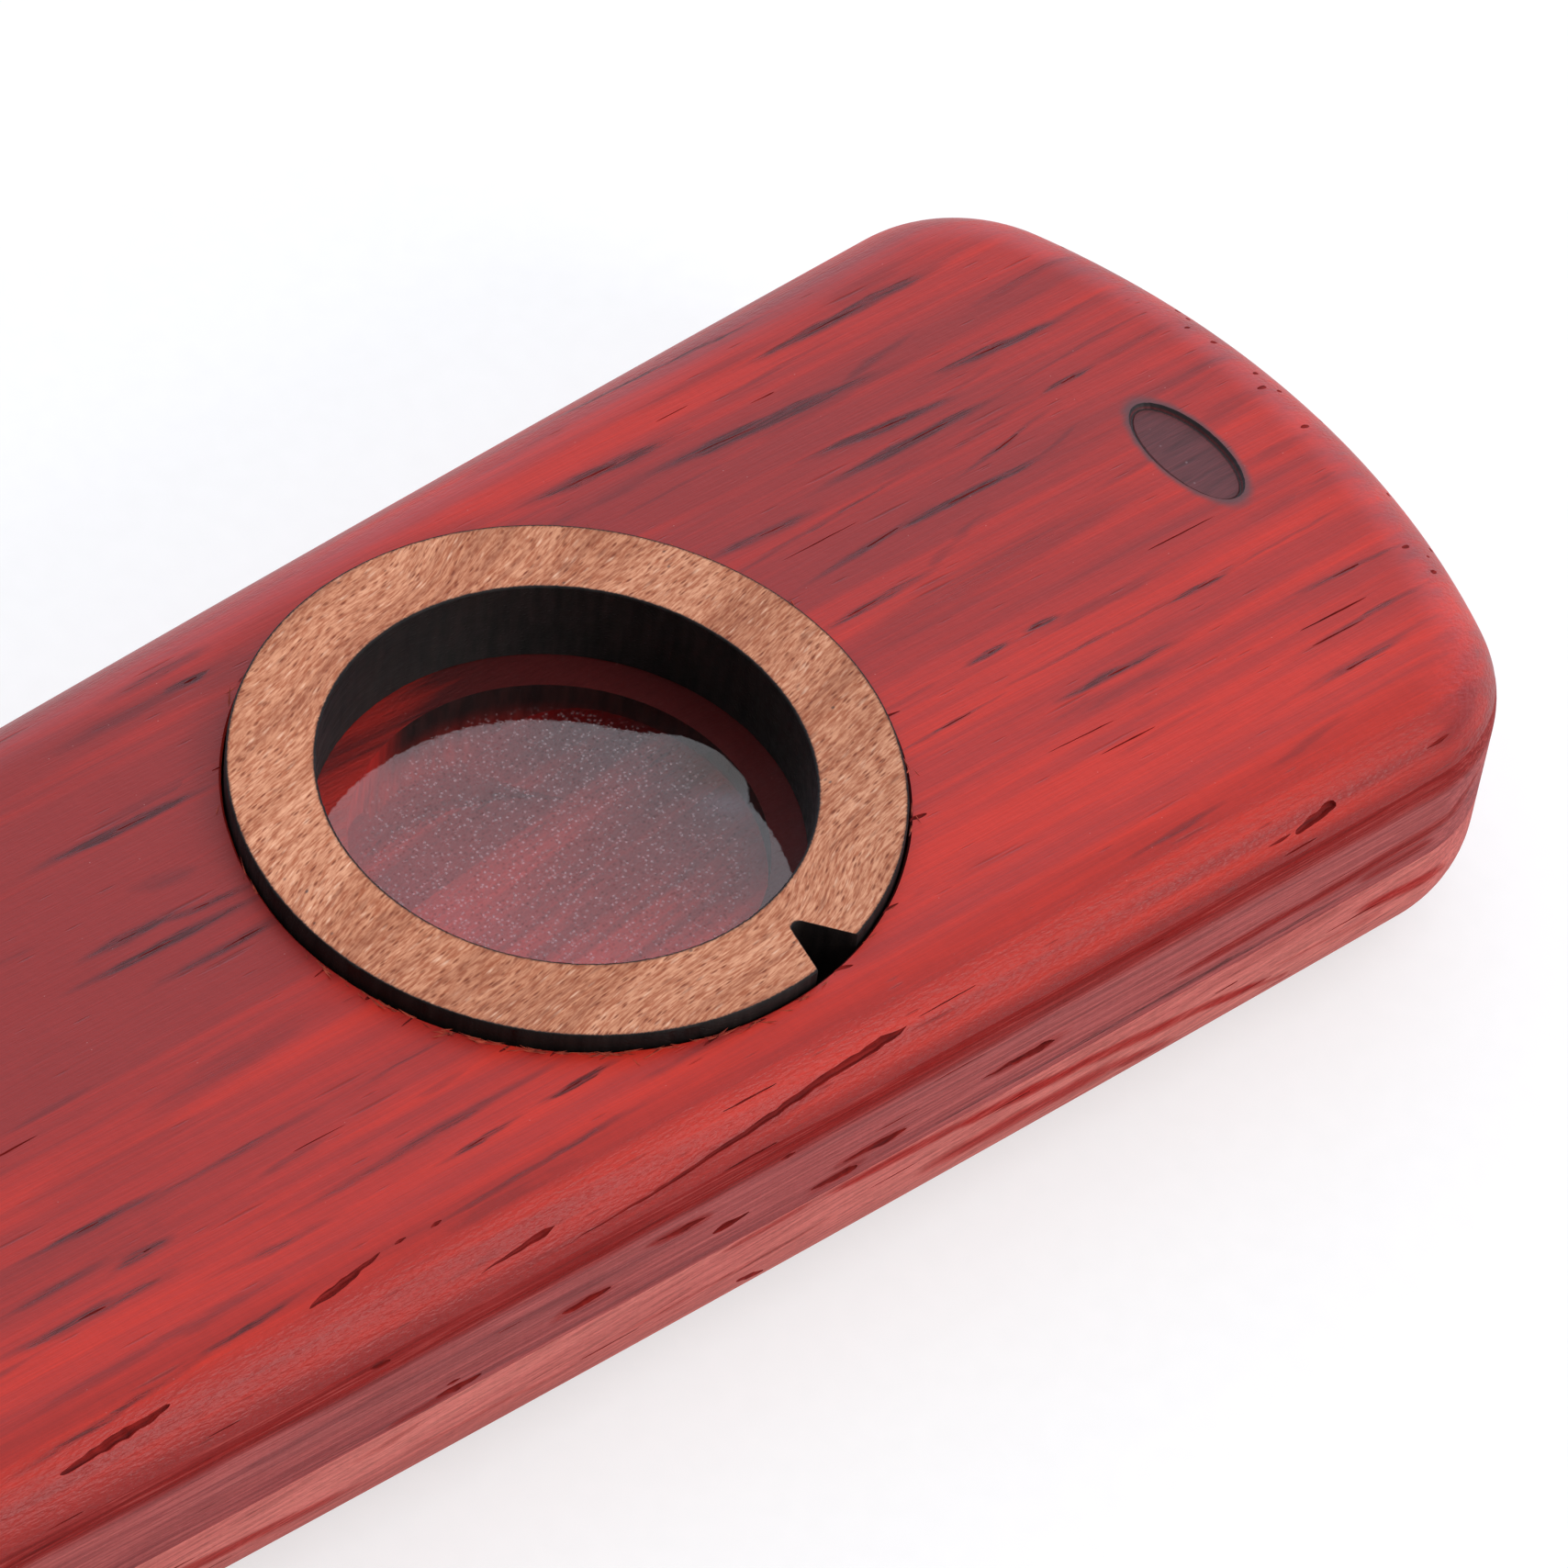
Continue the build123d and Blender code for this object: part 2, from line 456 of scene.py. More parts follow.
# Red hardwood
def red_wood(name, tones, turn, shift, gloss, share, lean=None, side=0.0, stain_and_shade=None, listed=(), bands=()):
    """Red hardwood with its grain along X, turned a little. Side is 1 on a board's sides."""
    nodes = Surface(name)
    dull, plain, bright, streak_colour, pore_colour, *deep_tones = tones
    roughness, specular = gloss
    on_top = side == 0.0
    grain = nodes.place(nodes.surface, (1000, 1000, 1000), turn=turn)

    def drawn(along, across, seed):
        return nodes.place(grain, (1 / along, 1 / across, 1 / across), [part + seed for part in shift])

    broad = nodes.clouds(drawn(85, 4.6, 1.3), 2.0, 0.55)
    stripes = nodes.clouds(drawn(34, 0.8, 4.1), 4.0, 0.62)
    fibres = nodes.clouds(drawn(2.6, 0.075, 7.7), 2.0, 0.6)
    tone = nodes.plus(nodes.times(broad, 0.55), nodes.times(stripes, 0.45))
    # A slow lean of the tone across the wood; on the ledge and in the chamber it is painted shade
    if lean:
        tone = nodes.plus(tone, lean(nodes))
    colour = nodes.ramp(tone, (0.38, dull), (0.5, plain), (0.62, bright))

    # Coordinates that sway a little, so that drawn-out spots get feathered ends and wavy sides
    sway = nodes.noise(drawn(2.4, 0.55, 9.2), 3.0)
    centred = nodes.vectors("SUBTRACT", {0: sway["Color"], 1: (0.5, 0.5, 0.5)})

    def swayed(vector, amount):
        return nodes.vectors("MULTIPLY_ADD", {0: centred, 1: amount, 2: vector})

    # Soft purple streaks beside the vessels, with a ragged dark core where they are strong
    streaks = nodes.speckle(swayed(drawn(13, 1.15, 12.6), (0.5, 0.6, 0.6)), 0.36, share)
    streaks = nodes.times(streaks, 0.5)
    here = nodes.spread(1000)
    field = nodes.streak_field(swayed(here, (2.2, 0.34, 0.34)), listed, on_top)
    streaks = nodes.larger(streaks, field)
    soft = nodes.times(streaks, nodes.fade(stripes, 0.36, 0.62, 1.2, 0.8), clamp=True)
    colour = nodes.paint(colour, soft, 0.74, streak_colour)
    # Deep red bands of the wood, and, where listed, the painted shade band along the top edges
    if bands:
        deep = nodes.streak_field(swayed(here, (1.8, 0.3, 0.3)), bands, False)
        deep = nodes.times(deep, nodes.fade(stripes, 0.3, 0.7, 1.1, 0.8), clamp=True)
        colour = nodes.blend(deep, colour, (*deep_tones[0], 1.0))
    ragged = nodes.clouds(drawn(1.9, 0.085, 24.4), 3.0, 0.62)
    core = nodes.times(streaks, nodes.fade(ragged, 0.36, 0.64, 0.4, 1.3))
    core = nodes.fade(core, 0.58, 1.05) if on_top else nodes.fade(core, 0.5, 0.95)
    colour = nodes.paint(colour, core, 0.74, pore_colour)

    # Fine vessel lines and dashes
    lines = nodes.speckle(swayed(drawn(7.5, 0.42, 15.8), (0.2, 0.3, 0.3)), 0.22, 0.2)
    dashes = nodes.speckle(drawn(2.4, 0.26, 18.9), 0.24, 0.14)
    vessels = nodes.larger(lines, nodes.times(dashes, 0.8))
    colour = nodes.paint(colour, vessels, 0.36, pore_colour)

    # Fibres: fine on the sanded top, long dark and pale lines on the sides
    long_fibres = nodes.clouds(drawn(9, 0.15, 27.1), 4.0, 0.72)
    ripple = nodes.clouds(nodes.place(grain, (4.4, 0.6, 0.6)), 1.0)
    shade = nodes.fade(fibres, 0.25, 0.75, 0.92, 1.07)
    shade = nodes.times(shade, nodes.fade(ripple, 0.3, 0.7, 0.98, 1.02))
    lined = nodes.less(nodes.fade(long_fibres, 0.32, 0.68, 0.72, 1.22), 1.0)
    shade = nodes.maths("MULTIPLY_ADD", lined, side, shade)
    colour = nodes.paint(colour, nodes.fade(long_fibres, 0.5, 0.72, 0.0, 0.4), side, (0.52, 0.15, 0.13))
    colour = nodes.vectors("SCALE", {0: colour, "Scale": shade})

    # A little pale dust in the grain
    dust = nodes.speckle(nodes.place(grain, (1.6, 1.9, 1.9)), 0.07, 0.2)
    colour = nodes.paint(colour, dust, 0.28, (0.7, 0.42, 0.4))
    # A stain laid over the colour: real smoke round the oval on the top, painted shade in the passage
    if stain_and_shade:
        colour = stain_and_shade(nodes, colour, sway["Fac"])
    worn = nodes.fade(nodes.plus(stripes, nodes.times(vessels, 0.3)), 0.3, 0.9, roughness, roughness + 0.14)

    # Relief: sanded grain, sunk vessels, and slow unevenness from hand sanding
    grit = nodes.clouds(nodes.spread(2300, 7200, 7200), 2.0)
    relief = nodes.times(fibres, 0.4)
    rounded = nodes.fade(nodes.height, top_z - 0.6 * mm, top_z - 0.05 * mm, 2.6, 0.3)
    relief = nodes.maths("MULTIPLY_ADD", grit, rounded, relief)
    relief = nodes.less(relief, vessels)
    relief = nodes.less(relief, nodes.times(core, 1.2))
    relief = nodes.plus(relief, nodes.times(long_fibres, side))
    slow = nodes.bump(nodes.clouds(nodes.spread(160, 260, 260), 1.0), 0.35, 0.12 * mm)
    return nodes.finish(colour, worn, specular, Normal=nodes.bump(relief, 0.7, 0.035 * mm, Normal=slow))


# Streaks on the top, in millimetres: along, across, length, thickness, strength and, where they lean, degrees
upper_streaks = [
    (35.6, 16.8, 11.5, 0.26, 0.95, -4), (44.0, 14.4, 10.5, 0.6, 1.0, -1), (45.8, 15.3, 5.0, 0.8, 0.4),
    (36.5, 14.9, 8.0, 0.6, 0.35, -1), (29.4, 13.15, 8.6, 0.66, 1.0, -3), (39.5, 13.55, 6.5, 0.24, 0.55),
    (36.6, 11.35, 13.5, 0.68, 1.0, -5), (43.0, 11.5, 5.0, 0.45, 0.6, 8), (38.5, 10.6, 5.0, 0.4, 0.5),
    (30.5, 10.55, 5.5, 0.2, 0.5), (52.0, 11.6, 6.5, 0.42, 0.6), (48.2, 9.1, 7.0, 0.52, 1.0, -5),
    (53.0, 8.9, 5.0, 0.18, 0.45), (40.6, 8.25, 7.4, 0.54, 1.0, -6), (45.5, 8.2, 4.0, 0.25, 0.4, 6),
    (41.3, 6.9, 9.2, 0.5, 1.0, -1), (50.0, 6.95, 11.0, 0.2, 0.5, 1), (32.4, 6.3, 6.0, 0.5, 0.75, -4),
    (35.5, 5.4, 13.0, 0.26, 0.65, 2), (44.0, 5.6, 7.0, 0.4, 0.55, 3), (49.2, 5.8, 3.2, 0.34, 0.9, 2),
    (53.3, 5.85, 6.0, 0.4, 0.6), (44.5, 4.45, 5.6, 0.28, 0.75, 8), (41.6, 3.08, 8.6, 0.46, 1.0, -2),
    (35.5, 3.2, 7.0, 0.4, 0.75, 3), (46.4, 3.2, 3.4, 0.28, 0.5, 11), (34.0, 0.6, 6.2, 0.52, 0.85),
    (38.6, 1.2, 4.6, 0.4, 0.45, 17), (38.5, -0.9, 18.0, 1.9, 0.55, 2), (47.6, 0.05, 4.0, 0.4, 0.5, 2),
    (54.2, 0.55, 4.6, 0.7, 0.5), (54.0, 3.0, 4.4, 0.4, 0.4), (54.0, 2.35, 4.0, 0.3, 0.35, 3),
    (35.8, -4.43, 2.5, 0.36, 0.95), (38.8, -4.45, 2.1, 0.34, 0.9, -2), (31.4, -4.4, 3.0, 0.3, 0.45),
    (31.6, -6.55, 5.4, 0.2, 0.8), (41.0, -6.5, 11.5, 0.24, 0.65, -2), (45.8, -6.75, 3.8, 0.36, 0.9),
    (50.5, -6.75, 6.5, 0.16, 0.6), (39.8, -8.38, 6.4, 0.46, 0.9, -3), (52.0, -9.65, 6.4, 0.3, 0.75, -3),
    (39.0, -12.0, 4.6, 0.3, 0.4), (50.5, -12.1, 8.2, 0.3, 0.7), (48.2, -13.95, 4.8, 0.32, 0.85),
    (48.0, -13.8, 9.4, 0.3, 0.45), (44.0, -15.95, 4.6, 0.4, 0.45, 5), (36.0, -16.4, 5.0, 0.3, 0.6),
    (6.2, 14.7, 5.4, 0.6, 0.65), (4.6, 13.6, 9.0, 0.7, 0.6), (7.0, 13.6, 2.4, 0.5, 1.0),
    (0.1, 8.72, 8.4, 0.54, 1.0, -3), (-0.4, 5.5, 2.8, 0.8, 0.5, -12), (-3.2, 3.92, 5.0, 0.56, 0.9, -2),
    (0.2, 3.5, 4.6, 0.4, 0.8, -7), (-2.2, 2.75, 9.4, 0.5, 0.95, -2), (-0.6, 1.2, 6.2, 0.5, 0.75),
    (-11.5, -1.5, 3.8, 0.34, 0.5), (-3.6, -3.65, 9.6, 1.2, 0.55, 4), (-11.0, -4.9, 8.0, 1.7, 0.32, -2),
    (-13.6, -7.15, 6.2, 0.46, 0.85, -2), (-6.8, -7.55, 9.6, 0.34, 0.65, -1), (1.0, -7.75, 5.4, 0.18, 0.55),
    (-16.8, -8.85, 4.8, 0.4, 0.65), (-13.0, -9.4, 2.6, 0.46, 0.8), (-5.2, -9.0, 3.2, 0.28, 0.55),
    (2.0, -9.5, 2.6, 0.3, 0.55), (-16.4, -10.65, 8.2, 0.54, 0.8, -3), (-0.6, -11.3, 12.8, 0.48, 0.7),
    (-8.4, -12.2, 5.8, 0.4, 0.65, -4), (1.5, -12.65, 4.4, 0.34, 0.85, 1), (6.5, -12.6, 3.8, 0.36, 1.0),
    (-17.6, -13.35, 7.8, 0.4, 0.45), (-18.6, -14.85, 9.4, 0.34, 0.75, 1), (-11.6, -14.6, 5.4, 0.3, 0.8, 2),
    (2.8, -14.9, 10.0, 0.26, 0.65), (-26.0, 6.5, 9.0, 0.5, 0.8), (-33.0, 2.0, 12.0, 0.5, 0.8),
    (-38.0, -7.0, 8.0, 0.4, 0.8), (-44.0, 5.5, 9.0, 0.5, 0.8), (-27.0, -4.0, 11.0, 0.4, 0.7),
    (-24.0, -11.0, 8.0, 0.4, 0.7),
]

# Streaks and deep red bands on the long sides: the same, with height in place of across
upper_side_streaks = [
    (33.0, 7.5, 28.0, 0.34, 0.7), (2.0, 7.45, 24.0, 0.3, 0.5), (27.0, 10.4, 30.0, 0.6, 0.35),
    (-4.0, 9.4, 26.0, 1.4, 0.4), (30.0, 9.6, 22.0, 0.3, 0.45),
]
# Painted shade: one dark red band runs all round the body on the lower part of the top edges' rounding; the
# other deep red bands are the wood's
edge_shade_band = (20.0, 11.75, 160.0, 2.0, 0.95)
upper_deep_and_shade_bands = [edge_shade_band, (51.0, 13.5, 4.0, 0.9, 0.6, 10), (8.0, 12.7, 16.0, 0.7, 0.7, 4)]
upper_side_deep_and_shade_bands = [
    edge_shade_band, (38.6, 8.45, 8.0, 0.75, 0.95, 1), (46.0, 8.6, 11.0, 0.8, 0.95, 3), (47.2, 7.9, 4.6, 0.75, 0.8),
    (51.0, 9.3, 3.0, 0.6, 0.8, 25), (8.0, 9.95, 3.4, 0.75, 0.8, -3), (18.2, 8.4, 4.2, 0.8, 0.6),
    (26.5, 8.85, 4.6, 0.9, 0.6), (16.3, 7.7, 3.4, 0.8, 0.6), (3.3, 8.6, 3.4, 0.8, 0.6),
    (-4.5, 7.35, 4.4, 0.5, 0.7, 3),
]
lower_streaks = [
    (11.0, 4.9, 12.0, 0.26, 0.6), (-1.0, 4.7, 9.0, 0.26, 0.5, -2), (43.0, 5.0, 5.0, 0.26, 0.5, -3),
]
lower_deep_bands = [
    (20.0, 6.62, 8.5, 0.6, 0.85, -2), (26.5, 6.15, 8.5, 0.8, 1.0, -5), (32.5, 5.6, 8.0, 0.8, 1.0, -7),
    (37.5, 4.95, 6.0, 0.7, 0.95, -10), (40.3, 4.3, 3.6, 0.5, 0.7, -20), (27.0, 4.62, 12.0, 1.1, 0.85, -1),
    (33.2, 4.05, 5.0, 0.9, 0.8, -16), (48.2, 5.4, 6.2, 0.8, 0.9, -6), (13.0, 6.8, 5.0, 0.4, 0.6),
    (-14.0, 4.8, 13.0, 0.7, 0.8, -4),
]
# Direction in which the chamber floor's painted shade deepens
chamber_shade_side = radians(50)


def upper_lean(nodes):
    """The top is brighter towards its near side, evener at the mouth end, duller left of the ring."""
    lean = nodes.fade(nodes.across, 5 * mm, -13 * mm, -0.075, 0.065)
    evened = nodes.fade(nodes.across, -5 * mm, -13 * mm, 0.052, -0.06)
    lean = nodes.maths("MULTIPLY_ADD", nodes.fade(nodes.along, 44 * mm, 56 * mm), evened, lean)
    return nodes.plus(lean, nodes.fade(nodes.along, ring_x, ring_x - 22 * mm, 0.0, -0.10))


def ledge_shade_lean(nodes):
    """Painted shade: the ledge darkens towards the mouth end, where the ring shadows it."""
    return nodes.fade(nodes.along, ring_x - 3 * mm, ring_x + 9 * mm, 0.06, -0.32)


def chamber_shade_lean(nodes):
    """Painted shade: the chamber's floor darkens away from the near side."""
    return nodes.fade(nodes.towards(chamber_shade_side), -6 * mm, 8 * mm, 0.06, -0.10)


def passage_shade(nodes, colour, wobble):
    """Painted shade: the passage turns to dark wood outside the chamber, where it runs in under the boards.
    """
    away = nodes.away(ring_x, 0.0)
    dark = nodes.fade(away, chamber_radius + 4.0 * mm, chamber_radius + 6.5 * mm, 0.0, 0.82)
    return nodes.blend(dark, colour, (0.10, 0.008, 0.008, 1.0))


def smoke_halo(nodes, colour, wobble):
    """Smoky stain on the wood around the burnt oval."""
    shift = (-oval_x / oval_half_x, -oval_y / oval_half_y, 0)
    spot = nodes.place(nodes.surface, (1 / oval_half_x, 1 / oval_half_y, 0), shift)
    ragged = nodes.plus(nodes.vectors("LENGTH", {0: spot}, "Value"), nodes.times(wobble, 0.12))
    return nodes.paint(colour, nodes.fade(ragged, 1.3, 1.08), 0.85, (0.085, 0.040, 0.044))


# Colours of each wood: dull, plain and bright bands, streaks, pores and, on the boards, deep red bands, whose
# colour also paints the shade band along the top edges
upper_tones = [
    (0.285, 0.016, 0.014), (0.41, 0.018, 0.012), (0.56, 0.021, 0.008),
    (0.088, 0.009, 0.013), (0.060, 0.006, 0.007), (0.28, 0.008, 0.006),
]
# Upper board's sides: the wood's own red with a painted grey reflection of the floor mixed into its colour
upper_side_tones_with_sheen = [
    (0.272, 0.047, 0.049), (0.37, 0.073, 0.073), (0.48, 0.106, 0.101),
    (0.16, 0.045, 0.050), (0.09, 0.012, 0.012), (0.28, 0.008, 0.006),
]
lower_tones = [
    (0.50, 0.103, 0.089), (0.645, 0.158, 0.138), (0.76, 0.215, 0.182),
    (0.40, 0.030, 0.022), (0.16, 0.014, 0.012), (0.40, 0.010, 0.007),
]
# The ledge's dull tone is the dark end of its painted shade towards the mouth end
ledge_tones = [
    (0.075, 0.006, 0.006), (0.34, 0.015, 0.010), (0.46, 0.021, 0.012),
    (0.10, 0.008, 0.009), (0.05, 0.005, 0.006),
]
# Painted light: the chamber's wood is given brighter tones than the boards', so that it looks lit below the
# film
chamber_lit_tones = [
    (0.38, 0.018, 0.019), (0.68, 0.040, 0.036), (0.88, 0.085, 0.070),
    (0.22, 0.011, 0.014), (0.10, 0.006, 0.009),
]
satin = (0.38, 0.34)
dry = (0.62, 0.12)
bare = (0.6, 0.14)
upper_turn = (1.5, 0, 2.0)
upper_shift = (3.2, 8.4, 5.1)
top_figure = {"lean": upper_lean, "stain_and_shade": smoke_halo, "listed": upper_streaks, "bands": upper_deep_and_shade_bands}
side_figure = {"side": 1.0, "listed": upper_side_streaks, "bands": upper_side_deep_and_shade_bands}
lower_figure = {"side": 1.0, "listed": lower_streaks, "bands": lower_deep_bands}
wood_upper = red_wood("red_wood_upper", upper_tones, upper_turn, upper_shift, satin, 0.22, **top_figure)
wood_side_with_sheen = red_wood("red_wood_side_with_sheen", upper_side_tones_with_sheen, upper_turn, upper_shift, dry, 0.22, **side_figure)
wood_lower = red_wood("red_wood_lower", lower_tones, (-8, 4, 4), (21.7, 2.9, 14.6), dry, 0.2, **lower_figure)
wood_ledge = red_wood("red_wood_ledge", ledge_tones, (3, 0, 4), (9.1, 30.4, 2.2), bare, 0.3, ledge_shade_lean)
wood_chamber = red_wood(
    "red_wood_chamber", chamber_lit_tones, (3, 0, -7), (5.3, 12.9, 7.8), bare, 0.4,
    lean=chamber_shade_lean, stain_and_shade=passage_shade,
)


def pore_wood():
    """Torn wood inside an open pore, darkened by painted shade."""
    nodes = Surface("red_wood_pore")
    fibres = nodes.clouds(nodes.spread(420, 6000, 6000), 3.0, 0.6)
    colour = nodes.ramp(fibres, (0.3, (0.13, 0.007, 0.007)), (0.7, (0.38, 0.018, 0.013)))
    return nodes.finish(colour, 0.7, 0.25, Normal=nodes.bump(fibres, 0.6, 0.05 * mm))


def burnt_wood():
    """Burnt maroon floor and sooty walls of the oval mark."""
    nodes = Surface("burnt_oval")
    fibres = nodes.clouds(nodes.spread(350, 5200, 5200), 3.0, 0.6)
    colour = nodes.ramp(fibres, (0.28, (0.066, 0.015, 0.017)), (0.72, (0.148, 0.030, 0.034)))
    ash = nodes.speckle(nodes.spread(3600), 0.3, 0.12)
    colour = nodes.paint(colour, ash, 0.35, (0.36, 0.24, 0.25))
    floor_level = top_z - oval_depth
    groove = nodes.fade(nodes.height, floor_level - 0.01 * mm, floor_level - 0.06 * mm)
    wall = nodes.fade(nodes.height, floor_level + 0.02 * mm, floor_level + 0.1 * mm)
    colour = nodes.blend(nodes.larger(groove, wall), colour, (0.034, 0.026, 0.028, 1.0))
    return nodes.finish(colour, 0.55, 0.36, Normal=nodes.bump(fibres, 0.7, 0.05 * mm))


# Where painted shade darkens the bore wall: its direction round the axis and the heights over which it
# deepens
bore_shade_side = radians(26)
bore_shade_low = 7.4 * mm
bore_shade_high = 10.4 * mm


def shaded_bore_wall():
    """Wall of the chamber's bore, red wood with painted shade, near black, towards the mouth end and up under
    the ring.
    """
    nodes = Surface("shaded_bore_wall")
    streaky = nodes.clouds(nodes.spread(2600, 2600, 420), 3.0)
    soot_and_shade = nodes.ramp(streaky, (0.3, (0.006, 0.003, 0.003)), (0.75, (0.030, 0.010, 0.009)))
    red = nodes.ramp(streaky, (0.3, (0.32, 0.016, 0.013)), (0.75, (0.54, 0.028, 0.021)))
    shade_mask = nodes.fade(nodes.towards(bore_shade_side), chamber_radius * 0.02, chamber_radius * 0.34)
    shade_mask = nodes.times(shade_mask, nodes.fade(nodes.height, bore_shade_low, bore_shade_high))
    return nodes.finish(nodes.blend(shade_mask, red, soot_and_shade), 0.7, 0.15, Normal=nodes.bump(streaky, 0.6, 0.04 * mm))


wood_pore = pore_wood()
wood_bore_shade = shaded_bore_wall()
oval_burn = burnt_wood()

# Large open pores of the near side, in millimetres: a path of (along, height) points and a width, then the
# share of the path where it is widest and the power of its taper
near_pores = [
    ([(-21.6, 13.75), (-16.2, 14.0)], 0.42, 0.6, 0.35),
    ([(-9.1, 14.4), (-5.2, 14.62)], 0.36, 0.3, 0.5),
    ([(-4.5, 14.62), (-3.9, 14.63)], 0.14, 0.5, 0.5),
    ([(-2.8, 14.6), (-2.2, 14.62)], 0.16, 0.5, 0.5),
    ([(-1.8, 13.15), (2.0, 13.4)], 0.32, 0.86, 0.9),
    ([(2.0, 12.55), (7.0, 12.75), (12.0, 13.1), (16.0, 13.45), (20.2, 13.6)], 0.42, 0.93, 0.8),
    ([(39.5, 13.0), (40.8, 13.03)], 0.15, 0.6, 0.6),
    ([(41.0, 12.97), (43.4, 13.22)], 0.54, 0.75, 0.3),
    ([(48.6, 13.33), (50.2, 13.38)], 0.18, 0.5, 0.6),
    ([(-7.6, 11.75), (-6.6, 11.65)], 0.34, 0.5, 0.5),
    ([(13.0, 11.0), (13.8, 11.0)], 0.24, 0.5, 0.5),
    ([(6.8, 10.05), (9.3, 9.87)], 0.36, 0.6, 0.5),
    ([(2.1, 8.6), (4.6, 8.6)], 0.46, 0.55, 0.45),
    ([(9.8, 8.5), (11.7, 8.6)], 0.42, 0.25, 0.5),
    ([(16.6, 8.4), (20.0, 8.35)], 0.46, 0.7, 0.5),
    ([(15.0, 7.72), (17.5, 7.66)], 0.5, 0.8, 0.5),
    ([(23.9, 8.9), (27.9, 8.8)], 0.56, 0.85, 0.8),
    ([(-4.1, 7.5), (-1.8, 7.5)], 0.42, 0.45, 0.45),
    ([(-3.6, 8.0), (-2.9, 8.0)], 0.22, 0.5, 0.5),
    ([(11.7, 4.0), (13.3, 3.4)], 0.5, 0.5, 0.4),
]
pore_stations = 18
path_stations = 40
pore_sides = 8
blunt_taper = 0.4
pore_gap_along = 5.5 * mm
pore_gap_across = 0.75 * mm
end_gap_along = 2 * mm
end_gap_across = 0.5 * mm
mark_margin = 2.4 * mm
slot_margin = 1.2 * mm
corner_margin = 1.5 * mm
under_corner_margin = 3 * mm

# Spans of random sizes, in millimetres
pore_lengths = (1.2, 4.2)
pore_widths = (0.05, 0.11)
end_pore_lengths = (0.7, 1.2)
end_pore_widths = (0.09, 0.2)
mouth_pore_growth = 1.6
mouth_pore_reach = 13.5
outlet_pore_reach = 9.5
streak_pore_widths = (0.05, 0.10)
chip_lengths = (0.5, 1.5)
chip_widths = (0.10, 0.24)
chip_offsets = (0.08, 0.2)
rim_chip_angles = [36, 71, 98, 141, 188, 197, 205, 212, 221, 229, 238, 246, 255, 263, 272, 281, 297, 318, 341]
upward = Vector((0, 0, 1))
taken_places = []


def add_pore(mesh, stations, width, depth, widest, taper):
    """Adds the cutter of one open pore: a ragged spindle through (point, outward) stations."""
    seed = between(0, 90)
    whole = stations[-1][0] - stations[0][0]
    along = whole.normalized()
    length = whole.length / mm
    loops = []
    for index, (middle, outward) in enumerate(stations):
        part = index / (len(stations) - 1)
        reach = part / widest if part < widest else (1 - part) / (1 - widest)
        swell = max(max(reach, 0) ** taper, 0.06)
        swell *= 1 + 0.3 * ruffle((part * length * 2.1, 0, 0), seed)
        across = outward.cross(along).normalized()
        middle = middle + across * (width * 0.2 * ruffle((part * length * 1.4, 5, 0), seed))
        sideways = across * (width / 2 * swell)
        inward = outward * (depth * swell)
        loops.append([middle + sideways * x + inward * y for x, y in circle(pore_sides)])
    add_stack(mesh, loops)


def add_short_pore(mesh, middle, along, outward, length, width, depth):
    """Adds a straight pore about a point of a face."""
    widest = between(0.2, 0.8)
    start = middle - along * length / 2
    stop = middle + along * length / 2
    stations = [(start.lerp(stop, step / pore_stations), outward) for step in range(pore_stations + 1)]
    add_pore(mesh, stations, width, depth, widest, blunt_taper)


def free_place(point, gap_along, gap_across):
    """True if no pore lies close by."""
    for other in taken_places:
        if abs(point.x - other.x) < gap_along and (point - other).yz.length < gap_across:
            return False
    taken_places.append(point)
    return True


def clear_of_marks(x, y, margin):
    """True if a place on the top is away from the ring's recess and the oval."""
    if hypot(x - ring_x, y) < recess_radius + margin:
        return False
    return hypot((x - oval_x) / (oval_half_x + margin), (y - oval_y) / (oval_half_y + margin)) > 1


def scatter_pores(mesh, count, pick):
    """Adds small pores at random places that a pick function gives as (middle, outward) or None."""
    added = 0
    tries = 0
    while added < count and tries < count * 30:
        tries += 1
        found = pick()
        length = between(*pore_lengths) * mm
        width = between(*pore_widths) * mm
        lean = chance.gauss(0, 0.012)
        if found is None or not free_place(found[0], pore_gap_along, pore_gap_across):
            continue
        middle, outward = found
        along = Vector((1, lean - tan(radians(2.5)) * abs(outward.z), 0))
        along = (along - outward * along.dot(outward)).normalized()
        add_short_pore(mesh, middle, along, outward, length, width, width * 1.1)
        added += 1


def top_pick():
    x = between(-0.9, 0.93) * end_x
    y = between(-1, 1) * (half_width(x) - top_edge_radius)
    if not clear_of_marks(x, y, mark_margin) or abs(x) > mouth_corner_x - corner_margin:
        return None
    return Vector((x, y, top_z)), upward


def side_pick(low, high, side):
    def pick():
        x = between(-0.84, 0.8) * end_x
        return side_place(x, between(low, high), side)

    return pick


def under_pick():
    x = between(-0.88, 0.88) * end_x
    y = between(-1, 1) * (half_width(x) - bottom_edge_radius)
    if abs(x) > mouth_corner_x - under_corner_margin:
        return None
    return Vector((x, y, floor_z)), -upward


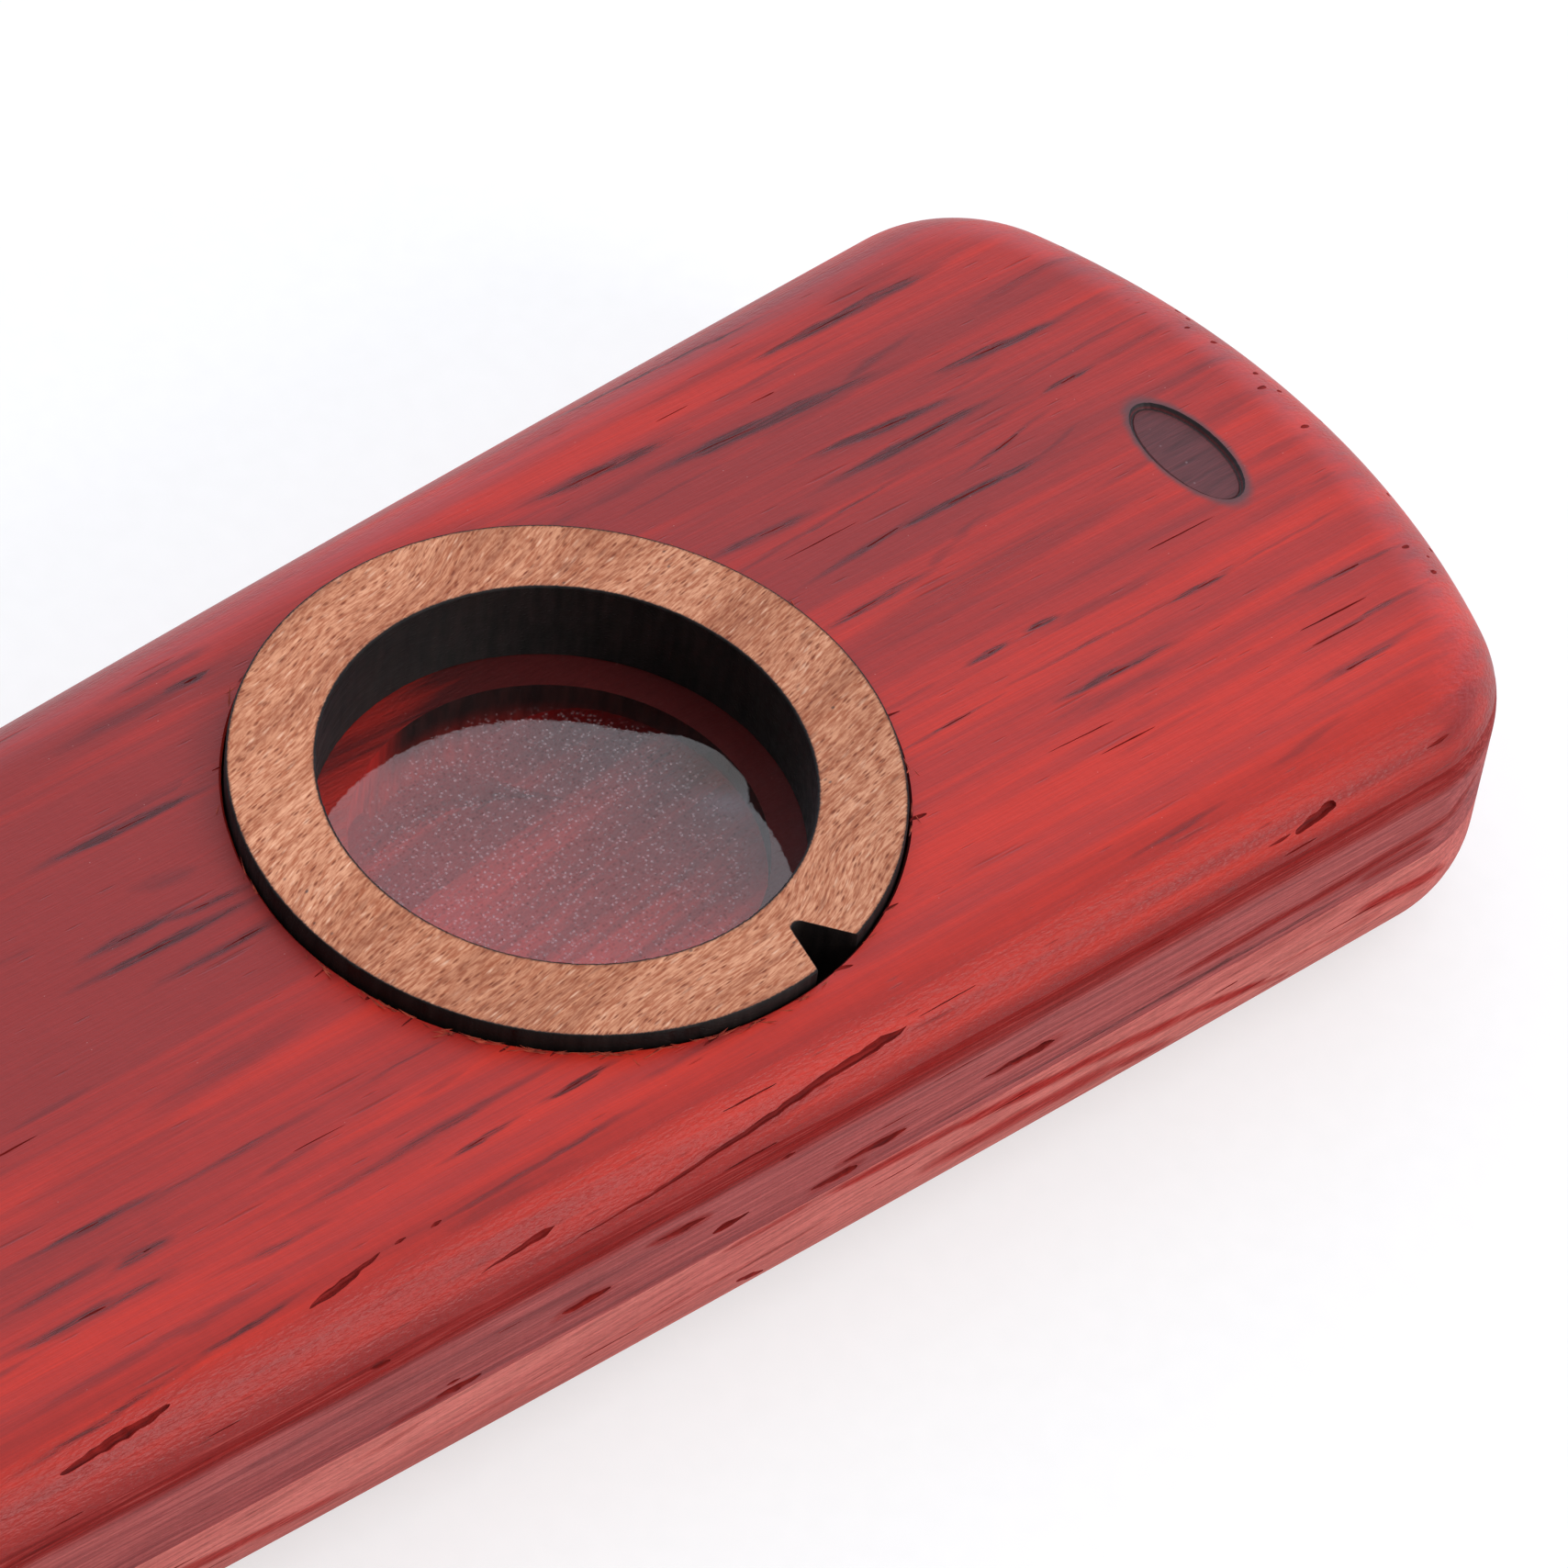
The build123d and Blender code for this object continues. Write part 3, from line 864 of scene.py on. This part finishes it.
def streak_pores(mesh):
    """Adds a hair-thin open pore in each dark streak on the top."""
    for x, y, length, thickness, strength, *tilt in upper_streaks:
        if thickness > 0.9 or strength < 0.75:
            continue
        open_length = length * mm * between(0.16, 0.34)
        shift = length * mm * between(-0.15, 0.15)
        width = between(*streak_pore_widths) * mm
        lean = radians(sum(tilt))
        along = Vector((cos(lean), sin(lean), 0))
        middle = Vector((x * mm, y * mm, top_z)) + along * shift
        inside = half_width(middle.x) - top_edge_radius - abs(middle.y) > 0
        if inside and clear_of_marks(middle.x, middle.y, open_length / 2 + 0.4 * mm):
            add_short_pore(mesh, middle, along, upward, open_length, width, width)
            taken_places.append(middle)


def end_pores(mesh, count, side, low, high):
    """Adds the dots where pores come out at a bowed end."""
    at_mouth = side > 0
    reach = mouth_pore_reach if at_mouth else outlet_pore_reach
    slot_half = (mouth_slot_half if at_mouth else outlet_slot_half) + slot_margin
    added = 0
    while added < count:
        y = between(-reach, reach) * mm
        z = between(low, high)
        length = between(*end_pore_lengths) * mm
        width = between(*end_pore_widths) * mm * (mouth_pore_growth if at_mouth else 1)
        in_slot = abs(y) < slot_half and abs(z - seam_z) < passage_half_height + slot_margin
        middle = Vector((bow_x(y, z, side), y, z))
        if in_slot or not free_place(middle, end_gap_along, end_gap_across):
            continue
        add_short_pore(mesh, middle, Vector((1, 0, 0)), upward, length, width, width / 2)
        added += 1


def rim_chips(mesh):
    """Adds small torn places along the rim of the ring's recess."""
    for degrees in rim_chip_angles:
        angle = radians(degrees)
        length = between(*chip_lengths) * mm
        width = between(*chip_widths) * mm
        middle = round_ring(angle, recess_radius + between(*chip_offsets) * mm, top_z)
        along = Vector((cos(angle * 0.05 + 0.1), between(-0.25, 0.25), 0)).normalized()
        add_short_pore(mesh, middle, along, upward, length, width, width * 0.8)


def listed_pores(mesh, above_seam):
    """Adds the large pores of the near side of one board."""
    for path, width, widest, taper in near_pores:
        if (path[0][1] * mm > seam_z) != above_seam:
            continue
        stations = []
        for step in range(path_stations + 1):
            reach = step / path_stations * (len(path) - 1)
            leg = min(int(reach), len(path) - 2)
            x, z = Vector(path[leg]).lerp(Vector(path[leg + 1]), reach - leg) * mm
            stations.append(side_place(x, z, -1))
        add_pore(mesh, stations, width * mm, width * mm * 0.8, widest, taper)
        taken_places.append((stations[0][0] + stations[-1][0]) / 2)


# Cutters
def turned(name, profile, material, raggedness=0.0):
    """Solid of revolution about the ring's axis through (radius, height) points, from the bottom up."""
    loops = []
    for radius, height in profile:
        loop = []
        for x, y in circle(bore_facets):
            out = radius * (1 + raggedness * ruffle((x * 9, y * 9, height / mm * 0.1), 3.3))
            loop.append((ring_x + x * out, y * out, height))
        loops.append(loop)
    return stack_object(name, loops, material)


def passage_cutter():
    """The flat tapering passage through both boards, with a round lip at either end."""
    half_turn = 14
    straight = 12 * mm
    lip = [slot_lip_radius * step for step in (0.0, 0.06, 0.15, 0.28, 0.45, 0.68, 1.0)]
    inwards = [-overrun, *lip, straight]
    stations = [(-1, inward) for inward in inwards] + [(0, 0.0)]
    stations += [(1, inward) for inward in reversed(inwards)]
    loops = []
    for side, inward in stations:
        depth_in_lip = max(slot_lip_radius - max(inward, 0), 0) if side else 0
        flare = slot_lip_radius - sqrt(slot_lip_radius**2 - depth_in_lip**2)
        centre_x = side * (end_x - inward)
        share = (centre_x + end_x) / (2 * end_x)
        half = outlet_slot_half + (mouth_slot_half - outlet_slot_half) * share + flare
        tall = passage_half_height + flare
        loop = []
        for cap in (1, -1):
            for step in range(half_turn + 1):
                angle = pi * step / half_turn - pi / 2
                y = cap * (half - tall + tall * cos(angle))
                z = seam_z + cap * tall * sin(angle)
                x = bow_x(y, z, side) - side * inward if side else centre_x
                loop.append((x, y, z))
        loops.append(loop)
    return stack_object("passage_cutter", loops, wood_chamber)


def oval_cutter():
    """The shallow oval with its deeper outline groove."""
    rows = [(0.05 * mm, 0.5 * mm), (0.05 * mm, 0.0), (0.02 * mm, -0.04 * mm), (-0.05 * mm, -oval_depth)]
    rows += [(-0.09 * mm, -oval_line_depth), (-0.15 * mm, -oval_line_depth), (-oval_line_width, -oval_depth)]
    loops = []
    for grow, height in rows:
        loop = []
        for x, y in circle(oval_facets):
            out = grow + 0.02 * mm * ruffle((x * 14, y * 14, 0), 6.1)
            loop.append((oval_x + x * (oval_half_x + out), oval_y + y * (oval_half_y + out), top_z + height))
        loops.append(loop)
    return stack_object("oval_cutter", loops, oval_burn)


def board(name, levels, *materials):
    """A closed board through (inset, height) levels of the body plan."""
    loops = []
    for inset, height in levels:
        loops.append([(point.x - out.x * inset, point.y - out.y * inset, height) for point, out in plan])
    return stack_object(name, loops, *materials)


def rounded_levels(radius, start_z, direction):
    """Levels of a rounded edge, from the straight side to the flat face."""
    angles = [pi / 2 * step / edge_facets for step in range(edge_facets + 1)]
    return [(radius * (1 - cos(angle)), start_z + direction * radius * sin(angle)) for angle in angles]


# Upper board
upper_levels = [(seam_chamfer, seam_z), (0.0, seam_z + seam_chamfer)]
upper_levels += rounded_levels(top_edge_radius, top_z - top_edge_radius, 1)
upper_levels += [(top_edge_radius + flat_support, top_z)]
upper = board("upper_board_wood", upper_levels, wood_upper, wood_side_with_sheen)
for face in upper.data.polygons:
    face.material_index = 1 if face.center.z < side_wood_z else 0
carve(upper, passage_cutter())
recess_profile = [
    (recess_radius, ledge_z),
    (recess_radius, top_z - recess_chamfer_height),
    (recess_radius + recess_chamfer, top_z),
    (recess_radius + recess_chamfer, top_z + overrun),
]
chamber_profile = [(chamber_radius, seam_z - overrun), (chamber_radius, ledge_z + overrun)]
carve(upper, turned("recess_cutter", recess_profile, wood_ledge, 0.0012))
carve(upper, turned("chamber_cutter", chamber_profile, wood_bore_shade))
carve(upper, oval_cutter())

pores = bmesh.new()
listed_pores(pores, True)
streak_pores(pores)
above_seam = seam_z + 0.6 * mm
below_rim = top_z - 1.6 * mm
mouth_pores_top = top_z - 0.1 * mm
outlet_pores_top = top_z - 0.2 * mm
side_pores_top = top_z - 0.7 * mm
end_pores(pores, 16, 1, below_rim, mouth_pores_top)
end_pores(pores, 16, 1, above_seam, below_rim)
end_pores(pores, 20, -1, above_seam, outlet_pores_top)
rim_chips(pores)
scatter_pores(pores, 18, top_pick)
scatter_pores(pores, 22, side_pick(above_seam, side_pores_top, -1))
scatter_pores(pores, 24, side_pick(above_seam, side_pores_top, 1))
carve(upper, to_object(pores, "pore_cutter", wood_pore))
smooth(upper, 32)

# Lower board
lower_levels = [(bottom_edge_radius + flat_support, floor_z)]
lower_levels += list(reversed(rounded_levels(bottom_edge_radius, floor_z + bottom_edge_radius, -1)))
lower_levels += [(0.0, seam_z - seam_chamfer), (seam_chamfer, seam_z)]
lower = board("lower_board_wood", lower_levels, wood_lower)
carve(lower, passage_cutter())
chamber_floor = seam_z - passage_half_height + chamber_floor_lift
floor_profile = [(chamber_radius, chamber_floor), (chamber_radius, seam_z + overrun)]
carve(lower, turned("floor_cutter", floor_profile, wood_chamber))
pores = bmesh.new()
listed_pores(pores, False)
below_seam = seam_z - 0.6 * mm
end_pores_bottom = floor_z + 0.6 * mm
side_pores_bottom = floor_z + 1.5 * mm
end_pores(pores, 14, 1, end_pores_bottom, below_seam)
end_pores(pores, 12, -1, end_pores_bottom, below_seam)
for side in (-1, 1):
    scatter_pores(pores, 26, side_pick(side_pores_bottom, below_seam, side))
scatter_pores(pores, 70, under_pick)
carve(lower, to_object(pores, "pore_cutter", wood_pore))
smooth(lower, 32)


# Membrane ring
notch_reach = 0.35


def ring_outer(angle):
    """Outer radius of the ring seen at an angle, drawn in where the notch is."""
    away = (angle - notch_angle + pi) % (2 * pi) - pi
    full = ring_radius - rim_waver * (1 + ruffle((cos(angle) * 40, sin(angle) * 40, 0), 2.4))
    if abs(away) > notch_reach:
        return full
    apex = ring_radius - notch_apex_depth
    steep = notch_half_angle
    flank = apex * sin(steep) / max(sin(steep - abs(away)), 0.001) if abs(away) < steep else full
    centre = apex + notch_tip_radius / sin(steep)
    touch = atan2(notch_tip_radius * cos(steep), centre - notch_tip_radius * sin(steep))
    if abs(away) < touch:
        inside = notch_tip_radius**2 - (centre * sin(away)) ** 2
        flank = centre * cos(away) - sqrt(max(inside, 0))
    return min(full, flank)


def ring_angles():
    """Angles round the ring, closer together across the notch."""
    step = radians(0.9)
    spread = radians(9)
    rest = 2 * pi - 2 * spread
    count = round(rest / step)
    wide = [notch_angle + spread + rest * index / count for index in range(count)]
    fine = 90
    return wide + [notch_angle - spread + 2 * spread * index / fine for index in range(fine)]


wall_parts = [0.0, 0.2, 0.4, 0.6, 0.8, 1.0]
char_rows = [(0.0, 1.0), (0.03, 0.75), (0.08, 0.36), (0.17, 0.14), (0.36, 0.0)]


def ring_section(angle):
    """Points (radius, height, char) round the ring's section, from the bottom inside."""
    cosine = cos(angle)
    sine = sin(angle)
    outer = ring_outer(angle)
    scallop = hole_waver * ruffle((cosine * 55, sine * 55, 0), 8.8)
    inner = ring_inner_radius + hole_shift_x * cosine + hole_shift_y * sine + scallop
    top = ring_top - ring_lean * (0.5 + 0.5 * cos(angle - ring_lean_angle))

    def wall(radius, part, seed, draw):
        waver = wall_waver * (ruffle((cosine * 60, sine * 60, part * 4), seed) - draw)
        return radius + waver, ring_bottom + (top - ring_edge - ring_bottom) * part, 1.0

    section = [wall(inner, part, 5.5, 0) for part in wall_parts]
    section += [(inner + ring_edge + reach * mm, top, char) for reach, char in char_rows]
    section += [(outer - ring_edge - reach * mm, top, char) for reach, char in reversed(char_rows)]
    return section + [wall(outer, part, 15.5, 1) for part in reversed(wall_parts)]


def ring_wood():
    """Pale flecked hardwood with charred cut faces."""
    nodes = Surface("ring_wood_charred")
    # Grain along X that waves gently across the ring
    wave = nodes.noise(nodes.place(nodes.surface, (95, 120, 120), (3.0, 1.0, 0.0)), 1.0)["Color"]
    straight = nodes.place(nodes.surface, (1000, 1000, 1000), turn=(0, 0, -17))
    grain = nodes.vectors("MULTIPLY_ADD", {0: wave, 1: (0.0, 3.2, 0.0), 2: straight})

    def drawn(along, across, seed):
        return nodes.place(grain, (1 / along, 1 / across, 1 / across), (seed, seed * 1.3, seed * 0.7))

    broad = nodes.clouds(drawn(22, 2.6, 2.0), 2.0)
    stripes = nodes.clouds(drawn(7, 0.45, 5.0), 4.0, 0.65)
    fibres = nodes.clouds(drawn(0.62, 0.11, 8.0), 2.0, 0.6)
    tone = nodes.plus(nodes.times(broad, 0.5), nodes.times(stripes, 0.5))
    stops = [(0.39, (0.42, 0.142, 0.070)), (0.5, (0.55, 0.206, 0.106)), (0.61, (0.67, 0.282, 0.157))]
    colour = nodes.ramp(tone, *stops)
    flecks = nodes.speckle(drawn(0.62, 0.16, 11.0), 0.44, 0.5)
    colour = nodes.paint(colour, flecks, 0.88, (0.25, 0.060, 0.022))
    for spot, radius, share, amount, over in (
        ((1.0, 0.2, 21.0), 0.4, 0.4, 0.55, (0.79, 0.43, 0.28)),
        ((1.5, 0.34, 17.0), 0.4, 0.16, 0.5, (0.24, 0.072, 0.036)),
        ((0.6, 0.4, 14.0), 0.24, 0.04, 0.75, (0.07, 0.05, 0.045)),
    ):
        colour = nodes.paint(colour, nodes.speckle(drawn(*spot), radius, share), amount, over)
    tint = nodes.blend(nodes.fade(fibres, 0.28, 0.72), (0.70, 0.51, 0.41, 1.0), (1.25, 1.47, 1.56, 1.0))
    colour = nodes.blend(1.0, colour, tint, "MULTIPLY")
    # Painted shade: the ring darkens towards the mouth end and towards the near side
    shade = nodes.fade(nodes.along, ring_x, ring_x + 12 * mm, 0.99, 0.9)
    shade = nodes.times(shade, nodes.fade(nodes.across, -11 * mm, 9 * mm, 0.96, 1.07))
    colour = nodes.vectors("SCALE", {0: colour, "Scale": shade})

    # Char fades in from the cut edges, raggedly
    char = nodes.add("ShaderNodeAttribute", attribute_name="char").outputs["Fac"]
    ragged = nodes.clouds(nodes.spread(9000), 2.0)
    charred = nodes.plus(char, nodes.times(nodes.less(ragged, 0.5), 0.7))
    colour = nodes.blend(nodes.fade(charred, 0.12, 0.7), colour, (0.15, 0.055, 0.03, 1.0))
    soot_and_shade = nodes.clouds(nodes.spread(2600, 2600, 420), 3.0)
    sooty = nodes.ramp(soot_and_shade, (0.3, (0.004, 0.003, 0.003)), (0.75, (0.016, 0.011, 0.010)))
    colour = nodes.blend(nodes.fade(charred, 0.55, 0.85), colour, sooty)
    worn = nodes.fade(stripes, 0.2, 0.8, 0.5, 0.68)
    relief = nodes.less(fibres, nodes.times(flecks, 0.6))
    relief = nodes.plus(relief, nodes.times(soot_and_shade, 0.8))
    return nodes.finish(colour, worn, 0.2, Normal=nodes.bump(relief, 0.6, 0.03 * mm))


def ring_piece():
    """The ring, turned as a grid of sections, with how charred each point is."""
    mesh = bmesh.new()
    char_layer = mesh.verts.layers.float.new("char")
    rows = []
    for angle in ring_angles():
        row = []
        for radius, height, char in ring_section(angle):
            vertex = mesh.verts.new(round_ring(angle, radius, height))
            vertex[char_layer] = char
            row.append(vertex)
        rows.append(row)
    for row, following in zip(rows, rows[1:] + rows[:1]):
        for point in range(len(row)):
            ahead = (point + 1) % len(row)
            mesh.faces.new((row[point], row[ahead], following[ahead], following[point]))
    return smooth(to_object(mesh, "membrane_ring_wood", ring_wood()), 40)


ring = ring_piece()

# Membrane: a thin clear film, slack by a hair inside the ring
film_thickness = 0.06 * mm
film_slack = 0.02 * mm
film_wave = 4.2 * mm
dust_x = -0.7 * mm
dust_y = -0.7 * mm
dust_reach = 8.7 * mm
dust_fade = 1.2 * mm
wrinkle_x = 9.5 * mm
wrinkle_y = 0.1 * mm
wrinkle_height = 0.55 * mm
wrinkle_width = 1.2 * mm
wrinkle_near_reach = 1.0 * mm
wrinkle_far_reach = 2.3 * mm
dent_x = 7.7 * mm
dent_y = -1.8 * mm
dent_depth = 0.12 * mm
dent_spread = 0.7 * mm
film_rows = 34
film_steps = 144


def film_material():
    """Clear film, dusty in its middle, that lets the lamps through to the chamber."""
    nodes = Surface("clear_film")
    mottle = nodes.clouds(nodes.spread(5200), 1.0)
    slack = nodes.bump(mottle, 0.12, 0.01 * mm)
    grains = nodes.spread(5600)
    specks = nodes.speckle(grains, 0.55, 0.6)
    grey = nodes.ramp(nodes.cells(grains)["Color"], (0.42, (0.02, 0.015, 0.016)), (0.58, (0.82, 0.66, 0.69)))
    dust = nodes.add("ShaderNodeBsdfDiffuse", {"Color": grey}).outputs[0]
    away = nodes.away(ring_x + dust_x, dust_y)
    settled = nodes.fade(away, dust_reach, dust_reach - dust_fade, 0.0, 0.16)
    inputs = {"Fac": nodes.times(specks, settled), 1: nodes.shader.outputs[0], 2: dust}
    dusty = nodes.add("ShaderNodeMixShader", inputs).outputs[0]
    clear = nodes.add("ShaderNodeBsdfTransparent").outputs[0]
    rays = nodes.add("ShaderNodeLightPath").outputs
    passing = nodes.larger(rays["Is Shadow Ray"], rays["Is Diffuse Ray"])
    mixed = nodes.add("ShaderNodeMixShader", {"Fac": passing, 1: dusty, 2: clear}).outputs[0]
    nodes.feed(nodes.tree.nodes["Material Output"].inputs["Surface"], mixed)
    glass = {"Transmission Weight": 1.0, "IOR": 1.5, "Normal": slack}
    return nodes.finish((1.0, 0.97, 0.98, 1.0), 0.02, 0.5, **glass)


def film_height(x, y):
    """How far the film strays from flat; not at all where it is clamped."""
    free = max(1 - (hypot(x, y) / ring_inner_radius) ** 4, 0)
    reach = wrinkle_far_reach if y > wrinkle_y else wrinkle_near_reach
    from_wrinkle = hypot((x - wrinkle_x) / wrinkle_width, (y - wrinkle_y) / reach)
    from_dent = hypot(x - dent_x, y - dent_y) / dent_spread
    wrinkle = wrinkle_height * exp(-0.5 * from_wrinkle**2) - dent_depth * exp(-0.5 * from_dent**2)
    return free * (film_slack * ruffle((x, y, 0), 12.5, film_wave) + wrinkle)


def film_piece():
    """The film as two round sheets joined at the rim."""
    mesh = bmesh.new()
    middle_z = (film_low.z + film_high.z) / 2
    rims = []
    for offset in (film_thickness / 2, -film_thickness / 2):
        centre = mesh.verts.new((ring_x, 0, middle_z + film_height(0, 0) + offset))
        rows = []
        for row in range(1, film_rows + 1):
            radius = film_radius * row / film_rows
            points = []
            for cosine, sine in circle(film_steps):
                x = cosine * radius
                y = sine * radius
                points.append(mesh.verts.new((ring_x + x, y, middle_z + film_height(x, y) + offset)))
            rows.append(points)
        for step in range(film_steps):
            ahead = (step + 1) % film_steps
            mesh.faces.new((centre, rows[0][step], rows[0][ahead]))
            for inside, outside in zip(rows, rows[1:]):
                mesh.faces.new((inside[step], outside[step], outside[ahead], inside[ahead]))
        rims.append(rows[-1])
    upper_rim, lower_rim = rims
    for step in range(film_steps):
        ahead = (step + 1) % film_steps
        mesh.faces.new((upper_rim[step], lower_rim[step], lower_rim[ahead], upper_rim[ahead]))
    return smooth(to_object(mesh, "membrane_film", film_material()), 40)


film = film_piece()

# Torn fibres along the rim of the recess
fibre_count = 150
crowded_share = 0.62
crowded_angle = 230
crowded_spread = 20
fibre_sink = 0.03 * mm
fibre_clearance = 0.06 * mm

# Spans of random sizes, in millimetres, and of how steeply the fibres rise
fibre_offsets = (0.08, 0.22)
fibre_lengths = (0.25, 1.0)
fibre_widths = (0.06, 0.14)
fibre_rises = (0.03, 0.3)


def fibre_wood():
    """Brown-red torn fibre."""
    nodes = Surface("torn_fibre")
    tint = nodes.clouds(nodes.spread(3000), 2.0)
    colour = nodes.ramp(tint, (0.3, (0.17, 0.014, 0.009)), (0.7, (0.52, 0.075, 0.035)))
    return nodes.finish(colour, 0.65, 0.25)


def rim_fibres():
    """Slivers that stand off the recess rim, most of them on its near side."""
    mesh = bmesh.new()
    for index in range(fibre_count):
        crowded = index < fibre_count * crowded_share
        angle = radians(chance.gauss(crowded_angle, crowded_spread) if crowded else between(0, 360))
        root = round_ring(angle, recess_radius + between(*fibre_offsets) * mm, top_z - fibre_sink)
        bent = angle + chance.gauss(0, 0.35)
        heading = Vector((-sin(bent), cos(bent), 0)) * chance.choice((1, -1))
        length = between(*fibre_lengths) * mm
        rise = between(*fibre_rises)
        width = between(*fibre_widths) * mm
        tip = root + heading * length
        if hypot(tip.x - ring_x, tip.y) < ring_radius + fibre_clearance:
            heading = -heading
        across = Vector((-heading.y, heading.x, 0))
        loops = []
        for part, wide in ((0.0, 1.0), (0.4, 0.8), (0.75, 0.45), (1.0, 0.08)):
            middle = root + heading * length * part + upward * (length * rise * part * part)
            side = across * width / 2 * wide
            thick = upward * (width * 0.3 * wide)
            loops.append([middle - side, middle - thick, middle + side, middle + thick])
        add_stack(mesh, loops)
    return smooth(to_object(mesh, "recess_rim_fibres", fibre_wood()), 60)


fibres = rim_fibres()
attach(fibres, "body")

# What rides on what
for piece, body, node, slot in (
    (upper, "body", "upper_board", "upper_board_wood"),
    (lower, "body", "lower_board", "lower_board_wood"),
    (ring, "ring", "membrane_ring", "ring_wood"),
    (film, "membrane", "membrane", "membrane_film"),
):
    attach(piece, body)
    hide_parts(node)

# Camera, at the photograph's viewing angle
camera_heading = radians(43.16)
camera_elevation = radians(47.64)
camera_roll = radians(8.8)
camera_distance = 363.8 * mm
camera_aim = Vector((ring_x + 7.5 * mm, -5.1 * mm, top_z))
behind = Vector((cos(camera_heading), sin(camera_heading), 0))
forward = behind * cos(camera_elevation) - upward * sin(camera_elevation)
camera_data = bpy.data.cameras.new("camera")
camera_data.lens = 201.385
camera_data.sensor_width = 36.0
camera_data.clip_start = 0.01
camera = to_scene("camera", camera_data)
camera.location = camera_aim - forward * camera_distance
level = forward.to_track_quat("-Z", "Y").to_matrix()
camera.rotation_euler = (level @ Euler((0, 0, camera_roll)).to_matrix()).to_euler()
bpy.context.scene.camera = camera

# Floor. To the camera, and in gloss and glass, it is lifted to white but keeps a soft shadow
floor_size = 1.6
floor_lift = 0.57
floor_mesh = bmesh.new()
bmesh.ops.create_grid(floor_mesh, x_segments=8, y_segments=8, size=floor_size)
paper = Surface("floor_paper")
paper_tone = paper.clouds(paper.spread(900), 2.0)
paper_colour = paper.ramp(paper_tone, (0.3, (0.44, 0.44, 0.44)), (0.7, (0.46, 0.46, 0.46)))
paper_rays = paper.add("ShaderNodeLightPath").outputs
seen = paper.larger(paper_rays["Is Camera Ray"], paper_rays["Is Glossy Ray"])
seen = paper.larger(seen, paper_rays["Is Transmission Ray"])
glow = {"Emission Color": (1.0, 1.0, 1.0, 1.0), "Emission Strength": paper.times(seen, floor_lift)}
floor = to_object(floor_mesh, "floor", paper.finish(paper_colour, 0.9, 0.1, **glow))
floor.location.z = floor_z - 0.02 * mm

# Studio light: bright overhead and behind, dim in front, with one soft square lamp at the near side
world = bpy.data.worlds.new("studio")
bpy.context.scene.world = world
world.use_nodes = True
sky = Nodes(world.node_tree, "Generated")
overhead_colour = (0.98, 0.99, 1.01, 1.0)
behind_colour = (1.46, 1.62, 1.94, 1.0)
front_colour = (0.12, 0.12, 0.12, 1.0)


def sky_fade(direction, start, stop):
    """From 0 to 1 as the sky turns towards a direction."""
    return sky.fade(sky.vectors("DOT_PRODUCT", {0: sky.surface, 1: direction}, "Value"), start, stop)


around = sky.blend(sky_fade(behind, -0.25, 0.7), front_colour, behind_colour)
whole_sky = sky.blend(sky_fade(upward, 0.45, 0.90), around, overhead_colour)
backdrop = world.node_tree.nodes["Background"]
sky.feed(backdrop.inputs["Color"], whole_sky)
sky.feed(backdrop.inputs["Strength"], 1.0)

lamp_direction = Vector((0.30, -0.83, 0.44))
lamp_distance = 0.7
lamp_aim = Vector((ring_x, 0, top_z))
lamp_data = bpy.data.lights.new("key_light", "AREA")
lamp_data.size = 0.30
lamp_data.energy = 2.1
lamp = to_scene("key_light", lamp_data)
lamp.location = lamp_aim + lamp_direction.normalized() * lamp_distance
lamp.rotation_euler = (lamp_aim - lamp.location).to_track_quat("-Z", "Y").to_euler()

bpy.context.scene.view_settings.view_transform = "Standard"
